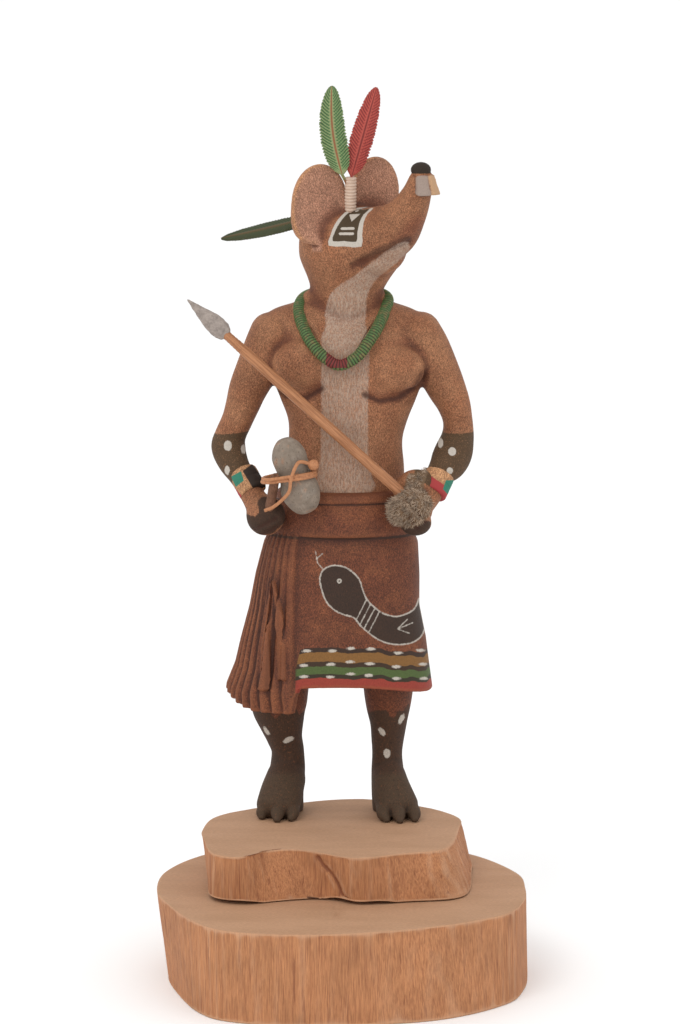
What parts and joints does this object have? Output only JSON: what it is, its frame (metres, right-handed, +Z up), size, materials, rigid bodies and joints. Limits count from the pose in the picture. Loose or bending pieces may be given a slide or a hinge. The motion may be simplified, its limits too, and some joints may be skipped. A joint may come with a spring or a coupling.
{
  "type": "carved mouse kachina doll",
  "caption": "Carved and painted wooden kachina doll of a mouse warrior with kilt, necklace, feathers, spear and stone club, standing on sawn slabs of root wood",
  "frame": {"origin": "centre of the lower slab's underside, on the surface that the doll stands on", "axes": "+Z up along the figure, -Y is the doll's front, +X is the doll's own left"},
  "size_m": [0.1551, 0.155, 0.3682],
  "materials": {
    "lower_base": "sawn and sanded bare root wood",
    "upper_base": "sawn bare root wood with a barked, grained side",
    "figure": "carved, stained and thinly painted, matt",
    "feather_post": "peg wound with off-white thread",
    "feather_green": "carved wood painted green",
    "feather_red": "carved wood painted red",
    "feather_back": "carved wood painted dark green with a red underside",
    "spear_shaft": "plain dowel, light stain",
    "spear_head": "carved wood painted stone grey",
    "club_stone": "carved wood painted mottled stone grey",
    "club_haft": "stick, grey-brown",
    "club_lacing": "thin tan lace"
  },
  "bodies": {
    "root": {"lower_base": "lower_base", "upper_base": "upper_base", "figure": "figure", "feather_post": "feather_post", "feather_green": "feather_green", "feather_red": "feather_red", "feather_back": "feather_back", "spear_shaft": "spear_shaft", "spear_head": "spear_head", "club_stone": "club_stone", "club_haft": "club_haft", "club_lacing": "club_lacing"}
  },
  "joints": []
}
